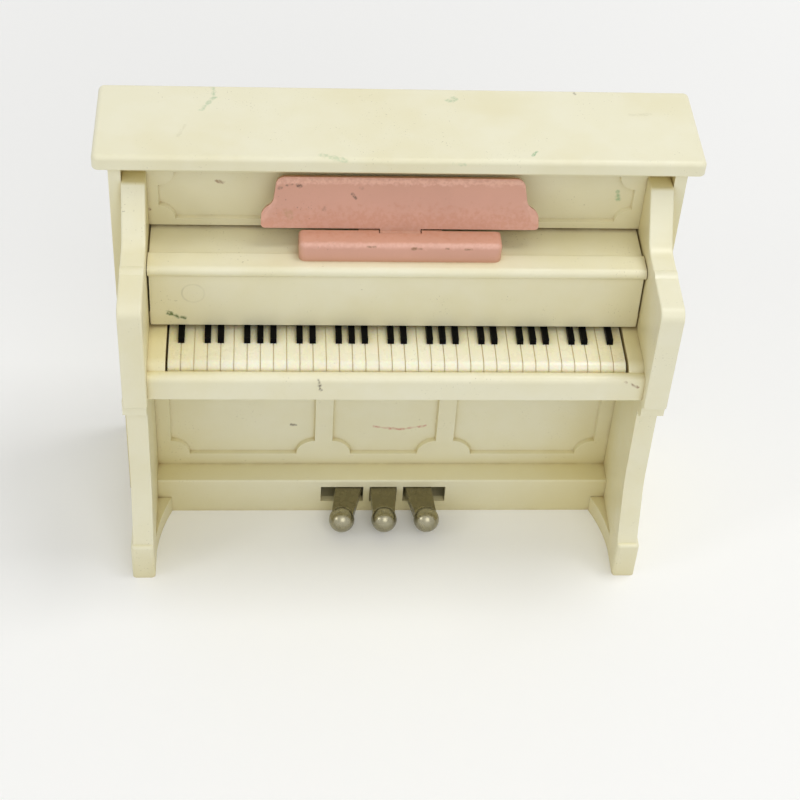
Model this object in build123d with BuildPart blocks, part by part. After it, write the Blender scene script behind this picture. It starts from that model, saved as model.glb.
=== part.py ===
"""Toy upright piano for a dolls house, in ivory plastic with a pink music desk.

Frame: millimetres, +X to the player's right, -Y towards the player, +Z up.
The origin is on the floor, at the centre of the overall width and depth.
"""
import os

from build123d import *

# ---------------------------------------------------------------- overall sizes
overall_width = 118.0        # across the top lid
overall_depth = 48.0         # back edge of the top lid to the front of the feet
overall_height = 93.8        # floor to the top of the top lid
lid_thickness = 3.4
lid_overhang = 2.8           # top lid past each side of the case
lid_front_y = -0.1
lid_gap = 0.1                # top lid above the case

back_y = overall_depth / 2
toe_y = -overall_depth / 2            # front of the feet
case_half = overall_width / 2 - lid_overhang
case_top = overall_height - lid_thickness - lid_gap
case_back_y = back_y - 1.3
case_front_y = 2.3
wall = 2.4                   # case walls
wall_inner = case_half - wall

# ---------------------------------------------------------------- side panels
arm_thickness = 4.7
arm_inner = wall_inner - arm_thickness
arm_front_y = -23.9
arm_top = 76.0
arm_bottom = 50.0
post_top = 86.4
arm_bead_y = -12.5           # low bead across the top of the arm
arm_bead_radius = 2.5
arm_bead_rise = 0.3
post_front_y = 1.5
brow_foot_y = -5.5
brow_foot_z = 76.8
panel_y = 5.3                # face of the upper panel
post_back_y = panel_y + 1.5
leg_inner = arm_inner + 0.5
leg_outer = wall_inner
leg_front_y = -18.1
toe_height = 8.6
toe_depth = 8.5
toe_inner = arm_inner + 0.4
toe_outer = wall_inner + 0.5
cap_height = 4.8             # stepped moulding under the arm
cap_setback = 2.6
gusset_height = 4.4
gusset_width = 3.0
soft_edge = 0.35             # rounding of the moulded edges

# ---------------------------------------------------------------- keys and keybed
keybed_bottom = 51.0
keybed_floor = 53.2
slip_front_y = -21.5
slip_top = 56.6
slip_thickness = 2.9
white_count = 35
white_top = 57.0
keys_half = 45.5
keys_x = 0.25                # the keyboard stands a little to the right
keys_front_y = slip_front_y + slip_thickness + 0.15
keys_back_y = -1.7
key_groove = 0.2
key_groove_depth = 0.25
black_pattern = (1, 3, 4, 6, 7, 8, 10, 11, 13, 14, 15, 17, 18, 20, 21, 22, 24, 25, 27, 28, 29, 31, 32, 34)
black_width = 1.25
black_front_y = -11.7
black_top = 58.0
cheek_gap = 0.35
cheek_top = 57.6

# ---------------------------------------------------------------- key lid
lid_play = 0.35              # key lid to each arm
bead_play = 0.15             # bead and guide lugs to each arm
key_lid_half = arm_inner - lid_play
bead_half = arm_inner - bead_play
key_lid_top = 72.6
key_lid_plate = 1.25
key_lid_rear_y = 20.4
lip_front_y = -7.2           # face of the lip below the bead
lip_lean = 0.5               # how far its bottom stands further forward
lip_thickness = 1.6
lip_bottom = 58.35
bead_front_y = -8.4
bead_back_y = -3.0
bead_bottom = 70.9
bead_top = 73.3
stop_height = 1.9
stop_thickness = 1.0
slide_gap = 0.1

# ---------------------------------------------------------------- panels
panel_gap = 0.02
upper_panel_bottom = key_lid_top + 0.7
panel_skin = 1.6
panel_flange = 1.4
recess_depth = 0.9
recess_taper = 12
upper_notch = 3.2
lower_notch = 4.0
upper_field_low = 74.9
upper_field_high = 86.3
upper_field_half = 47.05
lower_field_low = 12.8
lower_panel_y = 0.6
board_front_y = -4.6
board_height = 9.6
board_skin = 1.6

# ---------------------------------------------------------------- pedals
pedal_pitch = 9.3
pedal_width = 5.7
pedal_thickness = 2.2
pedal_ball_radius = 2.8
pedal_ball_y = -11.3
pedal_ball_z = 4.3
pedal_pivot_y = 6.8
pedal_pivot_z = 6.3
rod_radius = 0.75
rod_play = 0.05
slot_bottom = 3.0
slot_top = 7.6
slot_half = 3.0
side_slot_inner = 4.4
side_slot_outer = 13.8

# ---------------------------------------------------------------- music desk
desk_x = 0.3                 # the desk stands a little to the right
ledge_half = 19.9
ledge_front_y = -5.7
ledge_block_back_y = -1.1
ledge_back_y = 1.9
ledge_top = 77.4
desk_body_half = 24.8
desk_ear_half = 27.3
desk_ear_height = 4.4
desk_height = 10.2           # measured up the slope
desk_thickness = 1.3
desk_lean = 24.0             # degrees back from upright
desk_axis_y = -0.65
desk_axis_z = 76.0
desk_start = 1.4             # hinge axis to the bottom edge of the board
desk_tab_half = 4.0
knuckle_radius = 1.15
knuckle_gap = 0.2
stud_radius = 0.5             # studs on the board's tab, which snap into the ledge
stud_length = 1.2
stud_play = 0.05

# ---------------------------------------------------------------- top lid hinge
hinge_y = case_back_y - 2.5
hinge_drop = 3.1             # hinge axis below the underside of the top lid
lid_underside = overall_height - lid_thickness
hinge_z = lid_underside - hinge_drop
lug_thickness = 2.2
lug_radius = 1.9
stub_radius = 1.0
stub_length = 1.5
stub_play = 0.06
screw_head_radius = 1.6
screw_radius = 0.8
screw_length = 6.0
screw_head = 0.5
panel_skin_back = 1.2
back_top = 89.5
rear_round = 2.4             # top rear corner of the sides, so the lid swings clear
lug_play = 0.3               # lid lug to the side wall
lug_inner = wall_inner - lug_play - lug_thickness
back_half = wall_inner - panel_gap
screw_x = wall_inner - 3.6
screw_heights = (18.0, 62.0)
panel_half = arm_inner - panel_gap
lower_half = leg_inner - panel_gap
bed_half = arm_inner - panel_gap
keybed_back_y = 11.3
stop_y = key_lid_rear_y - stop_thickness
lid_stop_half = 46.5
guide_y = panel_y + panel_skin + 0.3
guide_z = key_lid_top + slide_gap
board_inner = lower_half - 1.6
lower_panel_top = arm_bottom - panel_gap
tray_half = 18.0
tray_back_y = 19.3
tail_back_y = 18.3


def profile(points, low, high):
    """Slab with an outline in (y, z), from x = low to x = high."""
    with BuildPart() as slab:
        with BuildSketch(Plane.YZ.offset(low)):
            with BuildLine():
                Polyline(*points, close=True)
            make_face()
        extrude(amount=high - low)
    return slab.part


def block(x0, x1, y0, y1, z0, z1):
    """Plain rectangular block between two corners."""
    with BuildPart() as piece:
        with BuildSketch(Plane.XY.offset(z0)):
            with Locations(((x0 + x1) / 2, (y0 + y1) / 2)):
                Rectangle(x1 - x0, y1 - y0)
        extrude(amount=z1 - z0)
    return piece.part


def recess(x0, x1, z0, z1, face_y, notch):
    """Cutter for a shallow sunk panel with round notches in its corners."""
    with BuildPart() as cutter:
        with BuildSketch(Plane.XZ.offset(-face_y)):
            with Locations(((x0 + x1) / 2, (z0 + z1) / 2)):
                Rectangle(x1 - x0, z1 - z0)
            with Locations((x0, z0), (x1, z0), (x0, z1), (x1, z1)):
                Circle(notch, mode=Mode.SUBTRACT)
        extrude(amount=-recess_depth, taper=recess_taper)
    return cutter.part


# ================================================================ side panels
rail_top = key_lid_top - key_lid_plate - slide_gap
with BuildPart() as arm:
    with BuildSketch(Plane.YZ.offset(arm_inner)) as arm_outline:
        with BuildLine():
            Polyline(
                (post_back_y, case_top),
                (panel_y, case_top),
                (panel_y, post_top),
                (post_front_y, post_top),
                (brow_foot_y, brow_foot_z),
                (arm_front_y, arm_top),
                (arm_front_y, arm_bottom),
                (post_back_y, arm_bottom),
                close=True,
            )
        make_face()
        for corner_y, corner_z, corner_radius in (
            (post_front_y, post_top, 1.0),
            (brow_foot_y, brow_foot_z, 4.5),
            (arm_front_y, arm_top, 2.4),
            (arm_front_y, arm_bottom, 1.4),
        ):
            corners = arm_outline.vertices().sort_by_distance(Vertex(corner_y, corner_z, 0))
            fillet(corners[0], corner_radius)
    extrude(amount=arm_thickness)
    rim = arm.edges().filter_by(Axis.X, reverse=True)
    rim = rim.filter_by(lambda edge: edge.center().Y < panel_y - 0.1)
    rim = rim.filter_by(lambda edge: arm_bottom + 0.1 < edge.center().Z < post_top - 0.05)
    fillet(rim, soft_edge)
    bead_slope = (brow_foot_z - arm_top) / (brow_foot_y - arm_front_y)
    bead_z = arm_top + bead_slope * (arm_bead_y - arm_front_y)
    with BuildSketch(Plane.YZ.offset(arm_inner + 0.1)):
        with Locations((arm_bead_y, bead_z - arm_bead_radius + arm_bead_rise)):
            Circle(arm_bead_radius)
    extrude(amount=arm_thickness - 0.2)

with BuildPart() as leg:
    with BuildSketch(Plane.YZ.offset(leg_inner)):
        with BuildLine():
            Line((case_front_y + 1, arm_bottom + 1), (leg_front_y, arm_bottom + 1))
            Line((leg_front_y, arm_bottom + 1), (leg_front_y - 0.6, 27.0))
            Spline(
                (leg_front_y - 0.6, 27.0),
                (toe_y + 3.2, 17.0),
                (toe_y + 0.4, toe_height),
                tangents=[(-0.05, -1), (-0.6, -1)],
            )
            Line((toe_y + 0.4, toe_height), (toe_y + 0.4, 0))
            Line((toe_y + 0.4, 0), (case_front_y + 1, 0))
            Line((case_front_y + 1, 0), (case_front_y + 1, arm_bottom + 1))
        make_face()
    extrude(amount=leg_outer - leg_inner)

with BuildPart() as toe:
    add(block(toe_inner, toe_outer, toe_y, toe_y + toe_depth, 0, toe_height + 1))
    fillet(toe.edges().filter_by(Axis.Z).group_by(Axis.Y)[0], 0.8)
    fillet(toe.faces().sort_by(Axis.Z)[-1].edges(), 0.6)

cap_front_y = arm_front_y + cap_setback
with BuildPart() as leg_cap:
    add(block(leg_inner - 0.1, leg_outer + 0.4, cap_front_y, arm_front_y + 11, arm_bottom - cap_height, arm_bottom))
    front_face = leg_cap.faces().sort_by(Axis.Y)[0]
    chamfer(front_face.edges().sort_by(Axis.Z)[0], 1.2)

gusset_back_y = board_front_y - 0.1
gusset_front_y = board_front_y - 15
with BuildPart() as gusset:
    with BuildSketch():
        with BuildLine():
            Line((leg_inner + 1, gusset_back_y), (leg_inner - gusset_width, gusset_back_y))
            ThreePointArc(
                (leg_inner - gusset_width, gusset_back_y),
                (leg_inner - 0.9, board_front_y - 6.5),
                (leg_inner, gusset_front_y),
            )
            Line((leg_inner, gusset_front_y), (leg_inner + 1, gusset_front_y))
            Line((leg_inner + 1, gusset_front_y), (leg_inner + 1, gusset_back_y))
        make_face()
    extrude(amount=gusset_height)

boss_y = case_back_y - panel_skin_back - 0.1
with BuildPart() as side_right:
    add(block(wall_inner, case_half, case_front_y, case_back_y, 0, case_top))
    add(arm.part)
    add(leg.part)
    add(toe.part)
    add(leg_cap.part)
    add(gusset.part)
    add(block(leg_inner, wall_inner + 0.1, case_front_y, case_front_y + 3, 0, arm_bottom + 1))
    add(block(key_lid_half - 1.2, wall_inner + 0.1, post_back_y - 0.1, stop_y + 1.4, rail_top - 1.6, rail_top))
    add(block(key_lid_half - 1.2, arm_inner + 0.1, bead_back_y, post_back_y, rail_top - 1.6, rail_top))
    add(block(key_lid_half - 1.2, wall_inner + 0.1, guide_y, guide_y + 4, guide_z, guide_z + 1.5))
    for screw_z in screw_heights:
        add(block(wall_inner - 6.5, wall_inner + 0.1, boss_y - screw_length, boss_y, screw_z - 2.6, screw_z + 2.6))
    rear_edge = side_right.edges().filter_by(Axis.X)
    rear_edge = rear_edge.filter_by(lambda edge: edge.center().Y > case_back_y - 0.1)
    fillet(rear_edge.sort_by(Axis.Z)[-1], rear_round)
    with Locations(Plane(origin=(wall_inner, hinge_y, hinge_z), z_dir=(-1, 0, 0))):
        Hole(stub_radius + stub_play, depth=stub_length + 0.2)
    for screw_z in screw_heights:
        with Locations(Plane(origin=(screw_x, boss_y, screw_z), z_dir=(0, 1, 0))):
            Hole(screw_radius, depth=screw_length - 1)
side_right.part.label = "side_right"

with BuildPart() as side_left:
    mirror(side_right.part, about=Plane.YZ)
side_left.part.label = "side_left"

# ================================================================ case panels
with BuildPart() as upper_panel:
    add(block(-panel_half, panel_half, panel_y, panel_y + panel_skin, upper_panel_bottom, case_top - 0.1))
    upper_field = recess(
        -upper_field_half, upper_field_half, upper_field_low, upper_field_high, panel_y, upper_notch
    )
    add(upper_field, mode=Mode.SUBTRACT)
upper_panel.part.label = "upper_panel"

with BuildPart() as lower_panel:
    add(block(-lower_half, lower_half, lower_panel_y, lower_panel_y + panel_skin, board_height, lower_panel_top))
    for recess_x0, recess_x1 in ((-46.6, -15.2), (-11.4, 11.4), (15.2, 46.6)):
        lower_field = recess(
            recess_x0, recess_x1, lower_field_low, lower_panel_top - 2, lower_panel_y, lower_notch
        )
        add(lower_field, mode=Mode.SUBTRACT)
lower_panel.part.label = "lower_panel"

with BuildPart() as bottom_board:
    add(block(-lower_half, lower_half, board_front_y, lower_panel_y + panel_skin, 0, board_height))
    add(
        block(-board_inner, board_inner, board_front_y + board_skin, 9, board_skin, board_height - board_skin),
        mode=Mode.SUBTRACT,
    )
    add(block(-tray_half, tray_half, board_front_y, tray_back_y, 0, board_skin))
    for slot_x0, slot_x1 in ((-side_slot_outer, -side_slot_inner), (-slot_half, slot_half), (side_slot_inner, side_slot_outer)):
        add(
            block(slot_x0, slot_x1, board_front_y - 1, board_front_y + board_skin + 1, slot_bottom, slot_top),
            mode=Mode.SUBTRACT,
        )
    fillet(bottom_board.edges().filter_by(Axis.X).filter_by(lambda edge: edge.center().Y < board_front_y + 0.1 and edge.center().Z > board_height - 0.1), 0.4)
bottom_board.part.label = "bottom_board"

with BuildPart() as back_panel:
    add(block(-back_half, back_half, case_back_y - panel_skin_back, case_back_y, 0.4, back_top))
    rear_top = back_panel.edges().filter_by(Axis.X).filter_by(lambda edge: edge.center().Y > case_back_y - 0.1)
    fillet(rear_top.sort_by(Axis.Z)[-1], 1.1)
    for corner in (-1, 1):
        with Locations((corner * back_half, case_back_y, back_top)):
            Box(2 * (back_half - lug_inner + 0.4), 8, 2 * 5.6, mode=Mode.SUBTRACT)
        for screw_z in screw_heights:
            with Locations(Plane(origin=(corner * screw_x, case_back_y, screw_z), z_dir=(0, 1, 0))):
                Hole(screw_radius + 0.1)
back_panel.part.label = "back_panel"

# ================================================================ screws in the back
screws = []
for number, (side_sign, screw_z) in enumerate((s, z) for s in (-1, 1) for z in screw_heights):
    with BuildPart() as back_screw:
        with BuildSketch(Plane(origin=(side_sign * screw_x, case_back_y, screw_z), z_dir=(0, 1, 0))):
            Circle(screw_head_radius)
        extrude(amount=screw_head)
        fillet(back_screw.edges().sort_by(Axis.Y)[-1], 0.3)
        with BuildSketch(Plane(origin=(side_sign * screw_x, case_back_y, screw_z), z_dir=(0, 1, 0))):
            Circle(screw_radius)
        extrude(amount=-(screw_length - 0.6))
        with Locations((side_sign * screw_x, case_back_y + screw_head, screw_z)):
            Box(2.0, 0.6, 0.4, mode=Mode.SUBTRACT)
            Box(0.4, 0.6, 2.0, mode=Mode.SUBTRACT)
    back_screw.part.label = "back_screw_%d" % (number + 1)
    screws.append(back_screw.part)

# ================================================================ keys and keybed
with BuildPart() as keybed:
    add(block(-bed_half, bed_half, slip_front_y, keybed_back_y, keybed_bottom, keybed_floor))
    add(block(-bed_half, bed_half, slip_front_y, slip_front_y + slip_thickness, keybed_bottom, slip_top))
    slip_edges = keybed.edges().filter_by(Axis.X).group_by(Axis.Z)[-1]
    fillet(slip_edges, slip_thickness / 2 - 0.1)
    for side_sign in (-1, 1):
        cheek_inner = keys_half + cheek_gap + side_sign * keys_x
        cheek_mid = side_sign * (bed_half + cheek_inner) / 2
        cheek_width = bed_half - cheek_inner
        with BuildSketch(Plane.YZ.offset(cheek_mid)):
            with BuildLine():
                Line((keys_front_y - 1, keybed_floor - 0.5), (keys_front_y - 1, slip_top - 0.6))
                RadiusArc((keys_front_y - 1, slip_top - 0.6), (keys_front_y + 1.6, cheek_top), 3)
                Line((keys_front_y + 1.6, cheek_top), (keys_back_y, cheek_top))
                Line((keys_back_y, cheek_top), (keys_back_y, keybed_floor - 0.5))
                Line((keys_back_y, keybed_floor - 0.5), (keys_front_y - 1, keybed_floor - 0.5))
            make_face()
        extrude(amount=cheek_width / 2, both=True)
keybed.part.label = "keybed"

key_pitch = 2 * keys_half / white_count


def key_outline(inset):
    """Side outline of the keys in (y, z), with the front top edge rounded over."""
    with BuildLine() as outline:
        Line((keys_back_y, white_top - inset), (keys_front_y + 1.9, white_top - inset))
        RadiusArc((keys_front_y + 1.9, white_top - inset), (keys_front_y + inset, white_top - 1.7), -2.1)
        Line((keys_front_y + inset, white_top - 1.7), (keys_front_y + inset, keybed_floor))
        Line((keys_front_y + inset, keybed_floor), (keys_back_y, keybed_floor))
        Line((keys_back_y, keybed_floor), (keys_back_y, white_top - inset))
    return outline.line


with BuildPart() as white_keys:
    with BuildSketch(Plane.YZ.offset(keys_x)):
        add(key_outline(key_groove_depth))
        make_face()
    extrude(amount=keys_half - 0.3, both=True)
    for key in range(white_count):
        with BuildSketch(Plane.YZ.offset(keys_x + (key + 0.5) * key_pitch - keys_half)):
            add(key_outline(0))
            make_face()
        extrude(amount=(key_pitch - key_groove) / 2, both=True)
white_keys.part.label = "white_keys"

with BuildPart() as black_keys:
    comb_half = keys_half - key_pitch / 2
    add(block(keys_x - comb_half, keys_x + comb_half, keys_back_y - 2, keys_back_y, white_top, black_top))
    for key in black_pattern:
        key_x = keys_x + key * key_pitch - keys_half
        with BuildSketch(Plane.YZ.offset(key_x)):
            Polygon(
                (black_front_y, white_top),
                (black_front_y + 0.35, black_top),
                (keys_back_y, black_top),
                (keys_back_y, white_top),
                align=None,
            )
        extrude(amount=black_width / 2, both=True)
black_keys.part.label = "black_keys"

# ================================================================ key lid
with BuildPart() as key_lid:
    add(block(-key_lid_half, key_lid_half, bead_back_y - 1, key_lid_rear_y, key_lid_top - key_lid_plate, key_lid_top))
    lip = (
        (lip_front_y, bead_bottom + 0.2),
        (lip_front_y - lip_lean, lip_bottom),
        (lip_front_y - lip_lean + lip_thickness, lip_bottom),
        (lip_front_y + lip_thickness, bead_bottom + 0.2),
    )
    add(profile(lip, -key_lid_half, key_lid_half))
    with BuildSketch(Plane.YZ.offset(-bead_half)):
        with BuildLine():
            Line((bead_back_y, bead_bottom), (bead_back_y, bead_top - 0.5))
            RadiusArc((bead_back_y, bead_top - 0.5), (bead_back_y - 0.5, bead_top), -0.5)
            Line((bead_back_y - 0.5, bead_top), (bead_front_y + 1.2, bead_top))
            ThreePointArc(
                (bead_front_y + 1.2, bead_top),
                (bead_front_y, (bead_top + bead_bottom) / 2),
                (bead_front_y + 1.2, bead_bottom),
            )
            Line((bead_front_y + 1.2, bead_bottom), (bead_back_y, bead_bottom))
        make_face()
    extrude(amount=2 * bead_half)
    add(block(-lid_stop_half, lid_stop_half, stop_y, stop_y + stop_thickness, key_lid_top - 0.2, key_lid_top + stop_height))
    for side_sign in (-1, 1):
        with Locations((side_sign * (bead_half + key_lid_half - 1) / 2, lip_front_y - lip_lean + 1.0, lip_bottom + 1.5)):
            Box(bead_half - key_lid_half + 1, lip_thickness - 0.4, 3)
key_lid.part.label = "key_lid"

# ================================================================ music desk
with BuildPart() as desk_ledge:
    add(block(desk_x - ledge_half, desk_x + ledge_half, ledge_front_y, ledge_block_back_y, bead_top, ledge_top))
    fillet(desk_ledge.edges().filter_by(Axis.Z).group_by(Axis.Y)[0], 1.4)
    ledge_rim = desk_ledge.faces().sort_by(Axis.Z)[-1].edges()
    fillet(ledge_rim.filter_by(lambda edge: edge.center().Y < ledge_block_back_y - 0.1), 1.0)
    add(block(desk_x - ledge_half, desk_x + ledge_half, bead_back_y, ledge_back_y, key_lid_top, bead_top + 0.3))
    knuckle_half = desk_tab_half + knuckle_gap + 4
    with BuildSketch(Plane.YZ.offset(desk_x)):
        with Locations((desk_axis_y, desk_axis_z)):
            Circle(knuckle_radius)
        with Locations((desk_axis_y, (desk_axis_z + key_lid_top) / 2)):
            Rectangle(2 * knuckle_radius, desk_axis_z - key_lid_top)
    extrude(amount=knuckle_half, both=True)
    slot_half_width = desk_tab_half + knuckle_gap
    slot_front_y = desk_axis_y - knuckle_radius - 0.1
    slot_low = desk_axis_z - knuckle_radius - 0.2
    slot = block(desk_x - slot_half_width, desk_x + slot_half_width, slot_front_y, ledge_back_y, slot_low, ledge_top + 1)
    add(slot, mode=Mode.SUBTRACT)
    with BuildSketch(Plane.YZ.offset(desk_x)):
        with Locations((desk_axis_y, desk_axis_z)):
            Circle(stud_radius + stud_play)
    extrude(amount=slot_half_width + stud_length + 0.1, both=True, mode=Mode.SUBTRACT)
desk_ledge.part.label = "desk_ledge"

upright = Plane(origin=(desk_x, desk_axis_y, desk_axis_z), x_dir=(1, 0, 0), z_dir=(0, -1, 0))
desk_plane = upright.rotated((-desk_lean, 0, 0))
ear_top = desk_start + desk_ear_height
desk_top = desk_start + desk_height
with BuildPart() as desk_board:
    with BuildSketch(desk_plane):
        with BuildLine():
            Line((0, desk_start), (desk_ear_half - 0.8, desk_start))
            RadiusArc((desk_ear_half - 0.8, desk_start), (desk_ear_half, desk_start + 0.8), -0.8)
            Line((desk_ear_half, desk_start + 0.8), (desk_ear_half - 0.1, desk_start + 2.6))
            ThreePointArc(
                (desk_ear_half - 0.1, desk_start + 2.6),
                (desk_ear_half - 0.7, ear_top - 0.6),
                (desk_ear_half - 1.5, ear_top),
            )
            ThreePointArc(
                (desk_ear_half - 1.5, ear_top),
                (desk_body_half + 0.35, ear_top + 0.6),
                (desk_body_half, ear_top + 1.5),
            )
            Line((desk_body_half, ear_top + 1.5), (desk_body_half - 0.4, desk_top - 1.8))
            RadiusArc((desk_body_half - 0.4, desk_top - 1.8), (desk_body_half - 2.2, desk_top), -1.8)
            Line((desk_body_half - 2.2, desk_top), (0, desk_top))
            Line((0, desk_top), (0, desk_start))
        make_face()
        mirror(about=Plane.YZ)
        with Locations((0, desk_start / 2)):
            Rectangle(2 * desk_tab_half, desk_start + 0.2)
    extrude(amount=desk_thickness / 2, both=True)
    with BuildSketch(Plane.YZ.offset(desk_x)):
        with Locations((desk_axis_y, desk_axis_z)):
            Circle(knuckle_radius)
    extrude(amount=desk_tab_half, both=True)
    with BuildSketch(Plane.YZ.offset(desk_x)):
        with Locations((desk_axis_y, desk_axis_z)):
            Circle(stud_radius)
    extrude(amount=desk_tab_half + knuckle_gap + stud_length, both=True)
desk_board.part.label = "desk_board"

# ================================================================ pedals
pedals = []
for pedal_name, pedal_x, ball_x in (("left", -7.8, -9.3), ("middle", 0.0, 0.0), ("right", 7.8, 9.3)):
    with BuildPart() as pedal:
        with BuildSketch():
            Polygon(
                (pedal_x - pedal_width / 2, pedal_pivot_y),
                (pedal_x - pedal_width / 2, board_front_y),
                (ball_x - 2.3, pedal_ball_y),
                (ball_x + 2.3, pedal_ball_y),
                (pedal_x + pedal_width / 2, board_front_y),
                (pedal_x + pedal_width / 2, pedal_pivot_y),
                align=None,
            )
        extrude(amount=10)
        stem = (
            (pedal_pivot_y, pedal_pivot_z + 1.1),
            (board_front_y, 7.2),
            (pedal_ball_y, pedal_ball_z + 1.2),
            (pedal_ball_y, pedal_ball_z - 1.0),
            (board_front_y, 7.2 - pedal_thickness),
            (pedal_pivot_y, pedal_pivot_z - 1.1),
        )
        add(profile(stem, pedal_x - 8, pedal_x + 8), mode=Mode.INTERSECT)
        with Locations((ball_x, pedal_ball_y, pedal_ball_z)):
            Sphere(pedal_ball_radius)
        tail = (
            (pedal_pivot_y - 2.0, pedal_pivot_z - 1.1),
            (pedal_pivot_y - 2.0, pedal_pivot_z + 1.1),
            (pedal_pivot_y + 1.0, pedal_pivot_z + 1.8),
            (tail_back_y, pedal_pivot_z),
            (tail_back_y, board_skin + 0.05),
            (tail_back_y - 5.5, board_skin + 0.05),
            (pedal_pivot_y + 1.0, pedal_pivot_z - 1.8),
        )
        add(profile(tail, pedal_x - pedal_width / 2, pedal_x + pedal_width / 2))
        with BuildSketch(Plane.YZ.offset(pedal_x)):
            with Locations((pedal_pivot_y, pedal_pivot_z)):
                Circle(1.9)
        extrude(amount=pedal_width / 2, both=True)
        with Locations(Plane(origin=(pedal_x, pedal_pivot_y, pedal_pivot_z), z_dir=(1, 0, 0))):
            Hole(rod_radius + rod_play)
    pedal.part.label = "pedal_" + pedal_name
    pedals.append(pedal.part)

rod_half = 14.5
with BuildPart() as pedal_rod:
    with BuildSketch(Plane.YZ):
        with Locations((pedal_pivot_y, pedal_pivot_z)):
            Circle(rod_radius)
    extrude(amount=rod_half, both=True)
pedal_rod.part.label = "pedal_rod"

cradles = []
for cradle_name, side_sign in (("left", -1), ("right", 1)):
    cradle_x = side_sign * (rod_half - 1.2)
    with BuildPart() as cradle:
        with BuildSketch(Plane.YZ.offset(cradle_x)):
            with Locations((pedal_pivot_y, (board_skin + pedal_pivot_z + 2.0) / 2)):
                Rectangle(5.0, pedal_pivot_z + 2.0 - board_skin)
            with Locations((pedal_pivot_y, pedal_pivot_z)):
                Circle(rod_radius, mode=Mode.SUBTRACT)
        extrude(amount=1.2, both=True)
    cradle.part.label = "rod_cradle_" + cradle_name
    cradles.append(cradle.part)

# ================================================================ top lid
with BuildPart() as top_lid:
    add(block(-overall_width / 2, overall_width / 2, lid_front_y, back_y, lid_underside, overall_height))
    fillet(top_lid.edges().filter_by(Axis.Z), 1.2)
    fillet(top_lid.faces().sort_by(Axis.Z)[-1].edges(), 1.0)
    fillet(top_lid.faces().sort_by(Axis.Z)[0].edges(), 0.6)
    for side_sign in (-1, 1):
        lug_mid = side_sign * (lug_inner + lug_thickness / 2)
        with BuildSketch(Plane.YZ.offset(lug_mid)):
            with Locations((hinge_y, hinge_z)):
                Circle(lug_radius)
            with Locations((hinge_y - 0.6, (hinge_z + lid_underside + 0.5) / 2)):
                Rectangle(2 * lug_radius - 1.2, lid_underside + 0.5 - hinge_z)
        extrude(amount=lug_thickness / 2, both=True)
        with BuildSketch(Plane.YZ.offset(side_sign * (lug_inner + 0.5))):
            with Locations((hinge_y, hinge_z)):
                Circle(stub_radius)
        extrude(amount=side_sign * (lug_thickness - 0.5 + lug_play + stub_length))
top_lid.part.label = "top_lid"

# ================================================================ export
os.makedirs("parts", exist_ok=True)
nodes = [
    side_left.part,
    side_right.part,
    upper_panel.part,
    lower_panel.part,
    bottom_board.part,
    back_panel.part,
    keybed.part,
    white_keys.part,
    black_keys.part,
    key_lid.part,
    desk_ledge.part,
    desk_board.part,
    pedal_rod.part,
    top_lid.part,
]
for node in nodes + screws + pedals + cradles:
    export_step(node, "parts/" + node.label + ".step")
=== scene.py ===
"""Looks, light and camera for a toy upright piano made of ivory and pink plastic."""

import math

import bpy
from bpy.props import FloatProperty, FloatVectorProperty, PointerProperty
from mathutils import Matrix, Vector

bl_info = {
    "name": "Toy Upright Piano",
    "version": (1, 0, 0),
    "blender": (4, 2, 0),
    "location": "3D View > Sidebar > Piano",
    "description": "Finishes of a toy upright piano, with its floor, light and camera",
    "category": "Object",
}

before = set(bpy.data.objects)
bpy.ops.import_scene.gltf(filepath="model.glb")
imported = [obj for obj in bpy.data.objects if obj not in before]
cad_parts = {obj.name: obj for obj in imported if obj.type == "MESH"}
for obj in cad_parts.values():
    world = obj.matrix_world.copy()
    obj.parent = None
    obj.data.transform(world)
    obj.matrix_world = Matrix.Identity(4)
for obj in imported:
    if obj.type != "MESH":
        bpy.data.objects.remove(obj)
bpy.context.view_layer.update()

MM = 0.001

SIDE_NODES = ("side_left", "side_right")
CASE_NODES = ("lower_panel", "bottom_board", "back_panel", "rod_cradle_left", "rod_cradle_right")
DESK_NODES = ("desk_ledge", "desk_board")
SCREW_NODES = ("back_screw_1", "back_screw_2", "back_screw_3", "back_screw_4")
PEDAL_NODES = ("pedal_left", "pedal_middle", "pedal_right")

# Places below are millimetres in the piano's frame: +X right, -Y to the player, +Z up.
BALL_CENTRES = ((-9.3, -11.3, 4.3), (0.0, -11.3, 4.3), (9.3, -11.3, 4.3))
EJECTOR_RING = ((-40.2, -7.3, 66.3), 2.2)     # centre and radius
CAMERA_PLACE = (-25.73, -282.45, 305.46)

# Metres.
EDGE_WEAR_AND_HIGHLIGHT = 0.45 * MM         # width of the pale band along the plastic edges: rubbed wear and a painted highlight
KEY_WEAR = 0.18 * MM          # the same on the black keys
PEDAL_WEAR = 0.3 * MM         # and on the pedals
STEEL_WEAR = 0.2 * MM         # and on the rod and screws
SHADE_REACH = 24.0 * MM        # reach of the painted shade: how far a sheltered place is from what shelters it
CREVICE_REACH = 1.6 * MM        # width of the gaps and corners that turn darker brown
SKIN_DEPTH = 0.12 * MM        # relief of the moulded skin
RING_STAIN = 0.30 * MM        # the dark line of the ejector ring, to each side
RING_GROOVE = 0.24 * MM       # its groove, to each side
BALL_BRIGHT = 2.85 * MM       # the pedal coat is bright this near a ball's centre
BALL_DULL = 3.05 * MM         # and dull from here on
FLOOR_REACH = 3.0             # from the middle of the floor to each side
FLOOR_NEAR = 0.12             # the floor pales towards the backdrop between these distances
FLOOR_FAR = 0.60
LAMP_TARGET = (0.0, 0.0, 0.05)

# Shares.
SHADE_TINT = (0.86, 0.80, 0.54)     # of the warm colour, in the painted shade of sheltered places
DUST_TINT = 0.42                   # of the warm colour, in the specks
FLOOR_FAR_LIFT = 0.30              # added to the floor's lift far away
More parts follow.
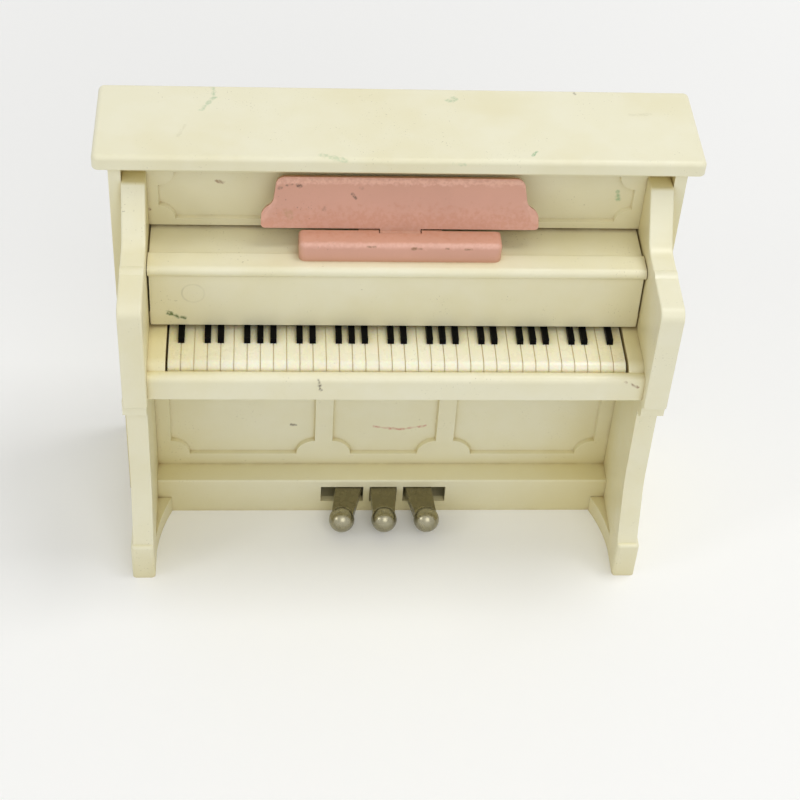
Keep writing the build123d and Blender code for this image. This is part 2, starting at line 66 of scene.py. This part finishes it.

# Colours of the marks, of the painted highlights and shade on the desk, and of the darker brown in gaps.
GREEN = (0.20, 0.42, 0.20)
BROWN = (0.30, 0.16, 0.08)
OLIVE = (0.34, 0.30, 0.12)
RED = (0.55, 0.12, 0.08)
GREY = (0.30, 0.27, 0.20)
CREVICE_BROWN = (0.46, 0.33, 0.13)
MOSS = (0.11, 0.17, 0.045)
# painted highlight colour of the desk
HIGHLIGHT_PINK = (0.86, 0.53, 0.42)
# painted shade colour of the desk
SHADE_ORANGE = (0.60, 0.26, 0.15)
SOOT = (0.10, 0.07, 0.045)
WORN_BLACK = (0.020, 0.018, 0.015)
HAZY_BLACK = (0.006, 0.0055, 0.005)
RUST = (0.12, 0.09, 0.06)
BRIGHT_STEEL = (0.75, 0.74, 0.72)

# Marks: start, end, width, colour and strength.
SIDE_MARKS = (
    ((-49.2, 2.0, 84.2), (-49.0, 2.2, 84.0), 0.5, GREY, 0.6),
)
PANEL_MARKS = (
    ((-2.4, 1.5, 20.4), (3.3, 1.5, 19.5), 0.5, RED, 0.65),
    ((3.3, 1.5, 19.5), (8.9, 1.5, 20.7), 0.5, RED, 0.60),
    ((-20.4, 1.5, 20.9), (-19.4, 1.5, 20.8), 0.5, SOOT, 0.75),
)
UPPER_PANEL_MARKS = (
    ((-35.7, 6.2, 83.6), (-34.4, 6.2, 83.3), 0.7, BROWN, 0.75),
    ((-48.8, 5.3, 77.2), (-48.7, 5.3, 77.0), 0.6, BROWN, 0.9),
    ((44.2, 6.2, 80.2), (43.9, 6.2, 81.8), 0.9, GREEN, 0.65),
)
KEYBED_MARKS = (
    ((-15.6, -21.5, 56.1), (-15.2, -21.5, 53.6), 0.7, SOOT, 0.90),
    ((44.9, -21.4, 56.0), (45.4, -21.4, 55.8), 0.45, BROWN, 0.6),
    ((46.5, -21.5, 55.5), (46.9, -21.5, 55.0), 0.5, BROWN, 0.75),
    ((47.5, -21.5, 54.8), (47.8, -21.5, 54.5), 0.5, BROWN, 0.75),
)
KEY_LID_MARKS = (
    ((-45.3, -7.6, 61.3), (-43.2, -7.6, 60.3), 0.8, MOSS, 0.95),
    ((-42.7, -7.6, 60.2), (-42.0, -7.6, 59.9), 0.75, MOSS, 0.9),
)
TOP_LID_MARKS = (
    ((-36.5, 22.8, 93.8), (-36.2, 19.7, 93.8), 0.8, GREEN, 0.45),
    ((-36.2, 19.7, 93.8), (-38.6, 15.4, 93.8), 0.7, GREEN, 0.38),
    ((-41.6, 10.3, 93.8), (-42.8, 6.7, 93.8), 0.6, OLIVE, 0.14),
    ((10.0, 19.8, 93.8), (11.4, 20.2, 93.8), 1.1, GREEN, 0.42),
    ((-15.4, 1.2, 93.7), (-11.0, 0.0, 93.4), 0.9, GREEN, 0.32),
    ((9.9, -0.4, 93.0), (12.2, -0.4, 93.0), 0.7, GREEN, 0.32),
    ((26.0, 3.2, 93.8), (25.1, 1.7, 93.8), 0.5, GREEN, 0.75),
    ((35.6, 23.3, 93.7), (35.6, 22.7, 93.8), 0.7, GREY, 0.9),
    ((46.0, 15.6, 93.8), (50.0, 15.9, 93.8), 0.8, OLIVE, 0.14),
)
# On the desk the pale pink streaks are painted highlights along the board's top edge, on the ears and
# along the ledge's front edge, and the wide orange band is painted shade low on the board. The other
# marks are specks and nicks.
DESK_MARKS_AND_PAINTED_LIGHT = (
    # painted shade, low on the board
    ((-26.0, -0.2, 78.6), (26.4, -0.2, 78.6), 5.0, SHADE_ORANGE, 0.42),
    # painted highlight along the board's top edge
    ((-23.6, 3.1, 86.1), (24.2, 3.1, 86.1), 1.1, HIGHLIGHT_PINK, 0.85),
    # painted highlights on the two ears
    ((-26.4, 0.0, 79.4), (-24.6, 1.4, 82.4), 1.2, HIGHLIGHT_PINK, 0.45),
    ((26.9, 0.0, 79.4), (25.1, 1.4, 82.4), 1.2, HIGHLIGHT_PINK, 0.45),
    # painted highlight along the ledge's front edge
    ((-19.2, -5.3, 77.2), (19.8, -5.3, 77.2), 1.1, HIGHLIGHT_PINK, 0.40),
    ((-23.4, 2.5, 84.8), (-23.0, 2.5, 84.9), 0.5, SOOT, 0.55),
    ((-22.0, 2.8, 85.3), (-20.8, 2.9, 85.4), 0.35, SOOT, 0.60),
    ((-19.9, 2.75, 85.2), (-19.4, 2.75, 85.2), 0.75, SOOT, 0.90),
    ((-9.2, 2.1, 83.9), (-8.4, 1.8, 83.1), 0.5, SOOT, 0.80),
    ((-7.8, 2.6, 85.0), (-7.4, 2.6, 85.0), 0.6, SOOT, 0.28),
    ((-14.7, 0.8, 80.9), (-14.5, 0.9, 81.1), 0.8, SOOT, 0.25),
    ((-21.8, 0.5, 80.2), (-21.4, 0.4, 79.9), 1.4, OLIVE, 0.22),
    ((-6.3, -5.6, 77.0), (-4.7, -5.65, 76.9), 0.4, BROWN, 0.85),
    ((2.4, -5.7, 76.6), (4.2, -5.7, 76.6), 0.5, BROWN, 0.95),
    ((9.1, -5.7, 76.7), (9.6, -5.7, 76.7), 0.4, BROWN, 0.80),
    ((12.9, -5.7, 76.6), (14.2, -5.7, 76.6), 0.35, BROWN, 0.70),
)


# ------------------------------------------------------------------ node tools
class Shader:
    """A material with one Principled BSDF and short ways to add nodes to it."""

    def __init__(self, name):
        self.material = bpy.data.materials.new(name)
        self.material.use_nodes = True
        self.nodes = self.material.node_tree.nodes
        self.links = self.material.node_tree.links
        self.bsdf = next(node for node in self.nodes if node.type == "BSDF_PRINCIPLED")
        self.place = self.nodes.new("ShaderNodeTexCoord").outputs["Object"]

    def put(self, socket, value):
        """Links a node's output to a socket, or sets the socket's own value."""
        if isinstance(value, bpy.types.NodeSocket):
            self.links.new(value, socket)
        elif isinstance(value, (tuple, list, Vector)) and len(value) == 3 and socket.type == "RGBA":
            socket.default_value = (*value, 1.0)
        else:
            socket.default_value = value

    def set(self, name, value):
        """Links a node's output to an input of the Principled BSDF, or sets that input."""
        self.put(self.bsdf.inputs[name], value)

    def noise(self, scale, detail=2.0, roughness=0.5, vector=None):
        """Fractal noise with about scale lumps per metre."""
        node = self.nodes.new("ShaderNodeTexNoise")
        self.links.new(vector or self.place, node.inputs["Vector"])
        node.inputs["Scale"].default_value = scale
        node.inputs["Detail"].default_value = detail
        node.inputs["Roughness"].default_value = roughness
        return node.outputs["Fac"]

    def math(self, operation, first, second=0.0):
        """One step of arithmetic."""
        node = self.nodes.new("ShaderNodeMath")
        node.operation = operation
        self.put(node.inputs[0], first)
        self.put(node.inputs[1], second)
        return node.outputs[0]

    def ramp(self, value, low, high, to_low=0.0, to_high=1.0):
        """Smooth step of a value from one range to another."""
        node = self.nodes.new("ShaderNodeMapRange")
        node.interpolation_type = "SMOOTHSTEP"
        self.put(node.inputs["Value"], value)
        node.inputs["From Min"].default_value = low
        node.inputs["From Max"].default_value = high
        node.inputs["To Min"].default_value = to_low
        node.inputs["To Max"].default_value = to_high
        return node.outputs["Result"]

    def mix(self, factor, first, second):
        """Blend of two colours."""
        node = self.nodes.new("ShaderNodeMix")
        node.data_type = "RGBA"
        self.put(node.inputs[0], factor)
        self.put(node.inputs[6], first)
        self.put(node.inputs[7], second)
        return node.outputs[2]

    def vector(self, operation, first, second):
        """One step of vector arithmetic."""
        node = self.nodes.new("ShaderNodeVectorMath")
        node.operation = operation
        self.put(node.inputs[0], first)
        self.put(node.inputs[1], second)
        return node

    def distance(self, centre):
        """Distance of the surface from a point given in millimetres."""
        return self.vector("DISTANCE", self.place, tuple(Vector(centre) * MM)).outputs["Value"]

    def stretched(self, scale):
        """Object coordinates multiplied along each axis."""
        return self.vector("MULTIPLY", self.place, scale).outputs["Vector"]

    def edges(self, width):
        """1 where the surface turns sharply within the given width, 0 on flat areas."""
        bevel = self.nodes.new("ShaderNodeBevel")
        bevel.samples = 6
        bevel.inputs["Radius"].default_value = width
        geometry = self.nodes.new("ShaderNodeNewGeometry")
        facing = self.vector("DOT_PRODUCT", bevel.outputs["Normal"], geometry.outputs["Normal"])
        return self.ramp(facing.outputs["Value"], 0.995, 0.8)

    def corner(self, reach, low, high):
        """1 deep in a corner or gap, 0 where the surface is open within the given reach."""
        node = self.nodes.new("ShaderNodeAmbientOcclusion")
        node.samples = 6
        node.inputs["Distance"].default_value = reach
        return self.ramp(node.outputs["AO"], high, low)

    def height(self, value, strength, distance):
        """Relief of the surface from a value."""
        node = self.nodes.new("ShaderNodeBump")
        self.put(node.inputs["Height"], value)
        node.inputs["Strength"].default_value = strength
        node.inputs["Distance"].default_value = distance
        self.links.new(node.outputs["Normal"], self.bsdf.inputs["Normal"])

    def streak(self, start, end, width, ragged=0.9, grain=900.0):
        """A streak between two points on the surface, with ragged sides and thin places, for scuffs and
        also for painted highlights and painted shade.
        """
        a, b = Vector(start) * MM, Vector(end) * MM
        line = b - a
        length = max(line.length, 1e-5)
        along = self.vector("SUBTRACT", self.place, tuple(a))
        run = self.vector("DOT_PRODUCT", along.outputs["Vector"], tuple(line / length))
        held = self.math("MINIMUM", self.math("MAXIMUM", run.outputs["Value"], 0.0), length)
        back = self.nodes.new("ShaderNodeVectorMath")
        back.operation = "SCALE"
        back.inputs[0].default_value = tuple(line / length)
        self.put(back.inputs["Scale"], held)
        gap = self.vector("SUBTRACT", along.outputs["Vector"], back.outputs["Vector"])
        distance = self.vector("LENGTH", gap.outputs["Vector"], (0, 0, 0)).outputs["Value"]
        shift = self.math("SUBTRACT", self.noise(grain, 3.0), 0.5)
        rough = self.math("MULTIPLY", shift, width * MM * 2 * ragged)
        edge = self.math("ADD", distance, rough)
        thin = self.ramp(self.noise(grain * 1.8, 2.0), 0.36, 0.60, 0.35, 1.0)
        inside = self.ramp(edge, width * MM * 0.80, width * MM * 0.15)
        return self.math("MULTIPLY", inside, thin)


def place_material(material, node):
    """Gives a CAD node one material in its own slot."""
    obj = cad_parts[node]
    if len(obj.data.materials) == 0:
        obj.data.materials.append(material)
    for index in range(len(obj.data.materials)):
        obj.data.materials[index] = material


# ------------------------------------------------------------------ materials
def moulded_plastic(
    name,
    colour,
    warm,
    pale,
    roughness=0.34,
    wear=1.0,
    marks=(),
    ring=None,
    darkening=0.85,
    rub_and_highlight=0.32,
    depth=0.0,
    dusk=0.66,
):
    """Old moulded plastic: uneven yellowing, dusty specks, pale edges, darker brown gaps, painted shade
    in sheltered places and a fine orange-peel skin.

    warm and pale are the yellowed and the rubbed colour; pale is also the painted highlight on the
    edges. ring is the mark of an ejector pin. dirt is the strength of the darker brown in gaps and
    corners, rub of the pale edges, which are rubbed wear and a painted highlight, depth of the light let
    through, and dusk of the painted shade, darker and yellower, in sheltered places.
    """
    s = Shader(name)
    yellow = s.ramp(s.noise(38.0, 3.0), 0.38, 0.72)
    surface = s.mix(s.math("MULTIPLY", yellow, 0.45 * wear), colour, warm)
    cloud = s.ramp(s.noise(140.0, 4.0, 0.6), 0.40, 0.68)
    surface = s.mix(s.math("MULTIPLY", cloud, 0.16 * wear), surface, pale)
    speck = s.ramp(s.noise(2600.0, 1.0), 0.69, 0.75)
    patch = s.ramp(s.noise(120.0, 2.0), 0.5, 0.65)
    dust = tuple(part * DUST_TINT for part in warm)
    specks = s.math("MULTIPLY", speck, patch)
    surface = s.mix(s.math("MULTIPLY", specks, 0.55 * wear), surface, dust)
    # Pale band along the edges: rubbed wear, and a painted highlight.
    rim = s.edges(EDGE_WEAR_AND_HIGHLIGHT)
    rubbed_and_highlit = s.math("MULTIPLY", rim, s.ramp(s.noise(420.0, 3.0), 0.42, 0.62))
    surface = s.mix(s.math("MULTIPLY", rubbed_and_highlit, rub_and_highlight * wear), surface, pale)
    # Painted shade: the colour turns darker and yellower where other parts shelter the surface.
    shade = s.corner(SHADE_REACH, 0.15, 0.90)
    deep = tuple(part * share for part, share in zip(warm, SHADE_TINT))
    surface = s.mix(s.math("MULTIPLY", shade, dusk), surface, deep)
    # Darker brown in narrow gaps and corners.
    crevice = s.corner(CREVICE_REACH, 0.15, 0.80)
    uneven = s.ramp(s.noise(260.0, 3.0), 0.30, 0.65, 0.45, 1.0)
    held = s.math("MULTIPLY", crevice, uneven)
    surface = s.mix(s.math("MULTIPLY", held, darkening * wear), surface, CREVICE_BROWN)
    # Marks: scuffs and stains, and on the desk also painted highlights and painted shade.
    for start, end, width, tint, strength in marks:
        streak_mask = s.streak(start, end, width)
        surface = s.mix(s.math("MULTIPLY", streak_mask, strength), surface, tint)
    if ring is not None:
        centre, radius = ring
        away = s.distance(centre)
        off = s.math("ABSOLUTE", s.math("SUBTRACT", away, radius * MM))
        broken = s.ramp(s.noise(170.0, 2.0), 0.42, 0.62, 0.10, 0.42)
        surface = s.mix(s.math("MULTIPLY", s.ramp(off, RING_STAIN, 0.0), broken), surface, dust)
    s.set("Base Color", surface)
    sheen = s.ramp(s.noise(210.0, 4.0, 0.6), 0.3, 0.7, roughness - 0.05, roughness + 0.09)
    s.set("Roughness", s.math("ADD", sheen, s.math("MULTIPLY", rubbed_and_highlit, 0.12)))
    s.set("Specular IOR Level", 0.4)
    s.set("Subsurface Weight", depth)
    s.set("Subsurface Radius", (1.0, 0.70, 0.25))
    s.set("Subsurface Scale", 1.5 * MM)
    skin = s.noise(620.0, 2.0, 0.45)
    wave = s.noise(60.0, 1.0)
    relief = s.math("ADD", s.math("MULTIPLY", skin, 0.35), s.math("MULTIPLY", wave, 0.8))
    if ring is not None:
        line = s.ramp(off, RING_GROOVE, 0.0)
        relief = s.math("SUBTRACT", relief, s.math("MULTIPLY", line, 1.6))
    s.height(relief, 0.16, SKIN_DEPTH)
    return s.material


def key_black(name, colour):
    """Shiny black plastic with rubbed, slightly grey tops."""
    s = Shader(name)
    rim = s.edges(KEY_WEAR)
    worn = s.math("MULTIPLY", rim, s.ramp(s.noise(900.0, 3.0), 0.4, 0.65))
    haze = s.ramp(s.noise(300.0, 3.0), 0.45, 0.75)
    surface = s.mix(s.math("MULTIPLY", haze, 0.3), colour, HAZY_BLACK)
    surface = s.mix(s.math("MULTIPLY", worn, 0.5), surface, WORN_BLACK)
    s.set("Base Color", surface)
    s.set("Specular IOR Level", 0.05)
    s.set("Roughness", s.ramp(s.noise(400.0, 3.0), 0.3, 0.7, 0.30, 0.46))
    s.height(s.noise(800.0, 2.0), 0.1, 0.05 * MM)
    return s.material


def pedal_coat(name, bright, dull):
    """Metal-coloured coating on the pedals, bright on the balls and dull and khaki on the stems."""
    s = Shader(name)
    away = [s.distance(centre) for centre in BALL_CENTRES]
    closest = s.math("MINIMUM", s.math("MINIMUM", away[0], away[1]), away[2])
    near = s.ramp(closest, BALL_DULL, BALL_BRIGHT)
    rim = s.edges(PEDAL_WEAR)
    tarnish = s.ramp(s.noise(520.0, 4.0, 0.65), 0.4, 0.7)
    surface = s.mix(near, dull, bright)
    surface = s.mix(s.math("MULTIPLY", tarnish, 0.22), surface, tuple(part * 0.7 for part in dull))
    surface = s.mix(s.math("MULTIPLY", rim, 0.15), surface, bright)
    s.set("Base Color", surface)
    s.set("Metallic", s.ramp(near, 0.0, 1.0, 0.25, 0.90))
    s.set("Roughness", s.ramp(s.noise(700.0, 4.0), 0.3, 0.7, 0.22, 0.32))
    s.height(s.noise(1300.0, 3.0), 0.14, 0.06 * MM)
    return s.material


def bare_steel(name, colour):
    """Plain turned steel with fine scratches and a little dirt in patches."""
    s = Shader(name)
    grain = s.noise(2400.0, 3.0, 0.6, s.stretched((0.2, 1.0, 1.0)))
    darkening = s.ramp(s.noise(600.0, 3.0), 0.52, 0.75)
    rim = s.edges(STEEL_WEAR)
    surface = s.mix(s.math("MULTIPLY", darkening, 0.55), colour, RUST)
    surface = s.mix(s.math("MULTIPLY", rim, 0.3), surface, BRIGHT_STEEL)
    s.set("Base Color", surface)
    s.set("Metallic", 1.0)
    s.set("Roughness", s.ramp(grain, 0.3, 0.7, 0.26, 0.48))
    s.height(grain, 0.15, 0.03 * MM)
    return s.material


# ------------------------------------------------------------------ settings
class PianoFinish(bpy.types.PropertyGroup):
    """Colours and wear of the toy."""

    ivory: FloatVectorProperty(
        name="Ivory", description="Colour of the case", subtype="COLOR",
        default=(0.86, 0.825, 0.61), min=0, max=1,
    )
    ivory_warm: FloatVectorProperty(
        name="Yellowed", description="Colour where the case has yellowed", subtype="COLOR",
        default=(0.79, 0.72, 0.43), min=0, max=1,
    )
    # This pale colour is also the painted highlight along the edges.
    ivory_pale: FloatVectorProperty(
        name="Rubbed", description="Colour of rubbed edges and clouds", subtype="COLOR",
        default=(0.92, 0.90, 0.76), min=0, max=1,
    )
    white_key: FloatVectorProperty(
        name="White keys", description="Colour of the white keys", subtype="COLOR",
        default=(0.95, 0.92, 0.76), min=0, max=1,
    )
    black_key: FloatVectorProperty(
        name="Black keys", description="Colour of the black keys", subtype="COLOR",
        default=(0.002, 0.002, 0.002), min=0, max=1,
    )
    pink: FloatVectorProperty(
        name="Music desk", description="Colour of the music desk", subtype="COLOR",
        default=(0.72, 0.39, 0.295), min=0, max=1,
    )
    pedal_bright: FloatVectorProperty(
        name="Pedal balls", description="Colour of the balls", subtype="COLOR",
        default=(0.35, 0.325, 0.225), min=0, max=1,
    )
    pedal_dull: FloatVectorProperty(
        name="Pedal stems", description="Colour of the stems", subtype="COLOR",
        default=(0.175, 0.150, 0.068), min=0, max=1,
    )
    steel: FloatVectorProperty(
        name="Steel", description="Colour of the screws and the rod", subtype="COLOR",
        default=(0.52, 0.51, 0.49), min=0, max=1,
    )
    # Wear also scales the pale edges, which are partly a painted highlight, and the darker brown in
    # gaps.
    wear: FloatProperty(
        name="Wear", description="How worn and dirty the plastic is", subtype="FACTOR",
        default=1.0, min=0, max=1,
    )


class PianoStage(bpy.types.PropertyGroup):
    """Floor, light and camera."""

    floor: FloatVectorProperty(
        name="Floor", description="Colour of the floor", subtype="COLOR",
        default=(0.93, 0.93, 0.92), min=0, max=1,
    )
    floor_lift: FloatProperty(
        name="Floor lift", description="How much paler the floor looks to the camera",
        default=0.06, min=0, max=1,
    )
    sky: FloatProperty(
        name="Sky", description="Strength of the even light",
        default=0.50, min=0, max=4,
    )
    key_power: FloatProperty(
        name="Key lamp", description="Power of the large lamp", subtype="POWER",
        default=1.9, min=0, max=100,
    )
    front_power: FloatProperty(
        name="Front lamp", description="Power of the lamp in front", subtype="POWER",
        default=0.95, min=0, max=100,
    )
    side_power: FloatProperty(
        name="Side lamp", description="Power of the small lamp on the left", subtype="POWER",
        default=0.30, min=0, max=100,
    )
    lens: FloatProperty(
        name="Lens", description="Focal length in millimetres", subtype="DISTANCE_CAMERA",
        default=82.96, min=10, max=300,
    )
    yaw: FloatProperty(
        name="Yaw", description="How far the camera turns right", subtype="ANGLE",
        default=math.radians(5.76),
    )
    pitch: FloatProperty(
        name="Pitch", description="How far the camera looks down", subtype="ANGLE",
        default=math.radians(44.14),
    )
    roll: FloatProperty(
        name="Roll", description="How far the camera leans", subtype="ANGLE",
        default=math.radians(4.15),
    )


class PieceOperator:
    """What all the operators share."""

    bl_options = {"REGISTER", "UNDO"}

    @staticmethod
    def ivory(context, name, nodes, **extra):
        """Gives nodes one ivory plastic."""
        finish = context.scene.piano_finish
        plastic = moulded_plastic(
            name,
            tuple(finish.ivory),
            tuple(finish.ivory_warm),
            tuple(finish.ivory_pale),
            wear=finish.wear,
            **extra,
        )
        for node in nodes:
            place_material(plastic, node)


class PIANO_OT_sides(PieceOperator, bpy.types.Operator):
    """Ivory plastic on the two side panels, which carry the arms, legs and feet"""

    bl_idname = "piano.sides"
    bl_label = "Side panels"

    def execute(self, context):
        self.ivory(context, "side_plastic", SIDE_NODES, marks=SIDE_MARKS)
        return {"FINISHED"}


class PIANO_OT_case(PieceOperator, bpy.types.Operator):
    """Ivory plastic on the panels, bottom board and back, with a red pencil line and scuffs"""

    bl_idname = "piano.case"
    bl_label = "Case panels"

    def execute(self, context):
        self.ivory(context, "panel_plastic", CASE_NODES, marks=PANEL_MARKS)
        # The upper panel gets a weaker painted shade.
        self.ivory(context, "upper_panel_plastic", ("upper_panel",), marks=UPPER_PANEL_MARKS, dusk=0.34)
        return {"FINISHED"}


class PIANO_OT_keybed(PieceOperator, bpy.types.Operator):
    """Ivory plastic on the keybed, with small scuffs on the key slip"""

    bl_idname = "piano.keybed"
    bl_label = "Keybed"

    def execute(self, context):
        self.ivory(context, "keybed_plastic", ("keybed",), marks=KEYBED_MARKS)
        return {"FINISHED"}


class PIANO_OT_white_keys(PieceOperator, bpy.types.Operator):
    """Glossier ivory plastic on the white keys"""

    bl_idname = "piano.white_keys"
    bl_label = "White keys"

    def execute(self, context):
        finish = context.scene.piano_finish
        plastic = moulded_plastic(
            "white_key_plastic",
            tuple(finish.white_key),
            tuple(finish.ivory_warm),
            tuple(finish.ivory_pale),
            roughness=0.26,
            wear=finish.wear,
            darkening=0.05,
            depth=0.4,
        )
        place_material(plastic, "white_keys")
        return {"FINISHED"}


class PIANO_OT_black_keys(PieceOperator, bpy.types.Operator):
    """Shiny black plastic on the black keys"""

    bl_idname = "piano.black_keys"
    bl_label = "Black keys"

    def execute(self, context):
        plastic = key_black("black_key_plastic", tuple(context.scene.piano_finish.black_key))
        place_material(plastic, "black_keys")
        return {"FINISHED"}


class PIANO_OT_key_lid(PieceOperator, bpy.types.Operator):
    """Ivory plastic on the key lid, with scuffs and the faint ring of an ejector pin"""

    bl_idname = "piano.key_lid"
    bl_label = "Key lid"

    def execute(self, context):
        self.ivory(
            context,
            "key_lid_plastic",
            ("key_lid",),
            marks=KEY_LID_MARKS,
            ring=EJECTOR_RING,
            # weaker painted shade on the key lid
            dusk=0.28,
        )
        return {"FINISHED"}


class PIANO_OT_top_lid(PieceOperator, bpy.types.Operator):
    """Ivory plastic on the top lid, with green and brown scuffs along its front"""

    bl_idname = "piano.top_lid"
    bl_label = "Top lid"

    def execute(self, context):
        self.ivory(context, "top_lid_plastic", ("top_lid",), marks=TOP_LID_MARKS)
        return {"FINISHED"}


class PIANO_OT_music_desk(PieceOperator, bpy.types.Operator):
    """Pink plastic on the music desk and its ledge, with painted highlights on its edges and ears and
    painted shade low on the board
    """

    bl_idname = "piano.music_desk"
    bl_label = "Music desk"

    def execute(self, context):
        finish = context.scene.piano_finish
        pink = tuple(finish.pink)
        deep = tuple(part * 0.86 for part in pink)
        pale = tuple(min(1.0, part * 1.14 + 0.02) for part in pink)
        plastic = moulded_plastic(
            "desk_plastic",
            pink,
            deep,
            pale,
            roughness=0.36,
            wear=finish.wear,
            marks=DESK_MARKS_AND_PAINTED_LIGHT,
            darkening=0.35,
            # strong pale edges: a painted highlight along the desk's rounded edges, with some rubbed
            # wear
            rub_and_highlight=0.55,
        )
        for node in DESK_NODES:
            place_material(plastic, node)
        return {"FINISHED"}


class PIANO_OT_pedals(PieceOperator, bpy.types.Operator):
    """Metal-coloured coating on the pedals and steel on their rod"""

    bl_idname = "piano.pedals"
    bl_label = "Pedals"

    def execute(self, context):
        finish = context.scene.piano_finish
        coat = pedal_coat("pedal_coating", tuple(finish.pedal_bright), tuple(finish.pedal_dull))
        for node in PEDAL_NODES:
            place_material(coat, node)
        place_material(bare_steel("rod_steel", tuple(finish.steel)), "pedal_rod")
        return {"FINISHED"}


class PIANO_OT_screws(PieceOperator, bpy.types.Operator):
    """Plain steel on the four screws in the back"""

    bl_idname = "piano.screws"
    bl_label = "Back screws"

    def execute(self, context):
        steel = bare_steel("bare_screw_steel", tuple(context.scene.piano_finish.steel))
        for node in SCREW_NODES:
            place_material(steel, node)
        return {"FINISHED"}


def seen_directly(tree):
    """1 on the rays that show the backdrop: from the camera, off a gloss or through glass."""
    path = tree.nodes.new("ShaderNodeLightPath")
    seen = path.outputs["Is Camera Ray"]
    for ray in ("Is Glossy Ray", "Is Transmission Ray"):
        either = tree.nodes.new("ShaderNodeMath")
        either.operation = "MAXIMUM"
        tree.links.new(seen, either.inputs[0])
        tree.links.new(path.outputs[ray], either.inputs[1])
        seen = either.outputs[0]
    return seen


def area_lamp(name, place, size, power):
    """A square area lamp that faces the middle of the piano."""
    lamp = bpy.data.lights.new(name, "AREA")
    lamp.shape = "SQUARE"
    lamp.size = size
    lamp.energy = power
    obj = bpy.data.objects.new(name, lamp)
    obj.location = place
    obj.rotation_euler = (Vector(LAMP_TARGET) - Vector(place)).to_track_quat("-Z", "Y").to_euler()
    bpy.context.scene.collection.objects.link(obj)


class PIANO_OT_stage(PieceOperator, bpy.types.Operator):
    """Pale floor, soft studio light and the camera"""

    bl_idname = "piano.stage"
    bl_label = "Stage"

    def execute(self, context):
        settings = context.scene.piano_stage
        mesh = bpy.data.meshes.new("floor")
        reach = FLOOR_REACH
        corners = [(-reach, -reach, 0), (reach, -reach, 0), (reach, reach, 0), (-reach, reach, 0)]
        mesh.from_pydata(corners, [], [(0, 1, 2, 3)])
        floor = bpy.data.objects.new("floor", mesh)
        context.scene.collection.objects.link(floor)
        paint = Shader("floor_paint")
        paint.set("Base Color", tuple(settings.floor))
        paint.set("Roughness", 0.9)
        paint.set("Emission Color", (1.0, 1.0, 0.97))
        far = paint.vector("LENGTH", paint.place, (0, 0, 0)).outputs["Value"]
        near_lift = settings.floor_lift
        lift = paint.ramp(far, FLOOR_NEAR, FLOOR_FAR, near_lift, near_lift + FLOOR_FAR_LIFT)
        seen = seen_directly(paint.material.node_tree)
        paint.set("Emission Strength", paint.math("MULTIPLY", seen, lift))
        mesh.materials.append(paint.material)

        world = bpy.data.worlds.new("studio")
        context.scene.world = world
        world.use_nodes = True
        sky = next(node for node in world.node_tree.nodes if node.type == "BACKGROUND")
        sky.inputs["Color"].default_value = (1.0, 1.0, 1.0, 1.0)
        strength = world.node_tree.nodes.new("ShaderNodeMapRange")
        strength.inputs["To Min"].default_value = settings.sky
        strength.inputs["To Max"].default_value = 1.0
        world.node_tree.links.new(seen_directly(world.node_tree), strength.inputs["Value"])
        world.node_tree.links.new(strength.outputs["Result"], sky.inputs["Strength"])
        area_lamp("key_lamp", place=(0.26, 0.03, 0.78), size=0.30, power=settings.key_power)
        area_lamp("front_lamp", place=(0.08, -0.50, 0.52), size=0.40, power=settings.front_power)
        area_lamp("side_lamp", place=(-0.50, -0.22, 0.36), size=0.14, power=settings.side_power)

        camera = bpy.data.cameras.new("camera")
        camera.lens = settings.lens
        camera.sensor_width = 36.0
        camera.clip_start = 0.01
        camera.clip_end = 10.0
        eye = bpy.data.objects.new("camera", camera)
        yaw, pitch, roll = settings.yaw, settings.pitch, settings.roll
        level = math.cos(pitch)
        look = Vector((math.sin(yaw) * level, math.cos(yaw) * level, -math.sin(pitch)))
        right = Vector((math.cos(yaw), -math.sin(yaw), 0.0))
        up = right.cross(look)
        side = right * math.cos(roll) + up * math.sin(roll)
        top = up * math.cos(roll) - right * math.sin(roll)
        turn = Matrix((side, top, -look)).transposed()
        eye.matrix_world = Matrix.Translation(Vector(CAMERA_PLACE) * MM) @ turn.to_4x4()
        context.scene.collection.objects.link(eye)
        context.scene.camera = eye
        context.scene.view_settings.view_transform = "Standard"
        return {"FINISHED"}


OPERATORS = (
    PIANO_OT_sides,
    PIANO_OT_case,
    PIANO_OT_keybed,
    PIANO_OT_white_keys,
    PIANO_OT_black_keys,
    PIANO_OT_key_lid,
    PIANO_OT_top_lid,
    PIANO_OT_music_desk,
    PIANO_OT_pedals,
    PIANO_OT_screws,
    PIANO_OT_stage,
)


class PIANO_PT_panel(bpy.types.Panel):
    """Lists the pieces of the piano"""

    bl_idname = "PIANO_PT_panel"
    bl_label = "Toy piano"
    bl_space_type = "VIEW_3D"
    bl_region_type = "UI"
    bl_category = "Piano"

    def draw(self, context):
        layout = self.layout
        for operator in OPERATORS:
            layout.operator(operator.bl_idname)
        for settings in (context.scene.piano_finish, context.scene.piano_stage):
            box = layout.box()
            for name in settings.__annotations__:
                box.prop(settings, name)


CLASSES = (PianoFinish, PianoStage, *OPERATORS, PIANO_PT_panel)


def register():
    for item in CLASSES:
        bpy.utils.register_class(item)
    bpy.types.Scene.piano_finish = PointerProperty(type=PianoFinish)
    bpy.types.Scene.piano_stage = PointerProperty(type=PianoStage)


def unregister():
    del bpy.types.Scene.piano_stage
    del bpy.types.Scene.piano_finish
    for item in reversed(CLASSES):
        bpy.utils.unregister_class(item)


def main():
    register()
    bpy.ops.piano.sides()
    bpy.ops.piano.case()
    bpy.ops.piano.keybed()
    bpy.ops.piano.white_keys()
    bpy.ops.piano.black_keys()
    bpy.ops.piano.key_lid()
    bpy.ops.piano.top_lid()
    bpy.ops.piano.music_desk()
    bpy.ops.piano.pedals()
    bpy.ops.piano.screws()
    bpy.ops.piano.stage()


if __name__ == "__main__":
    main()
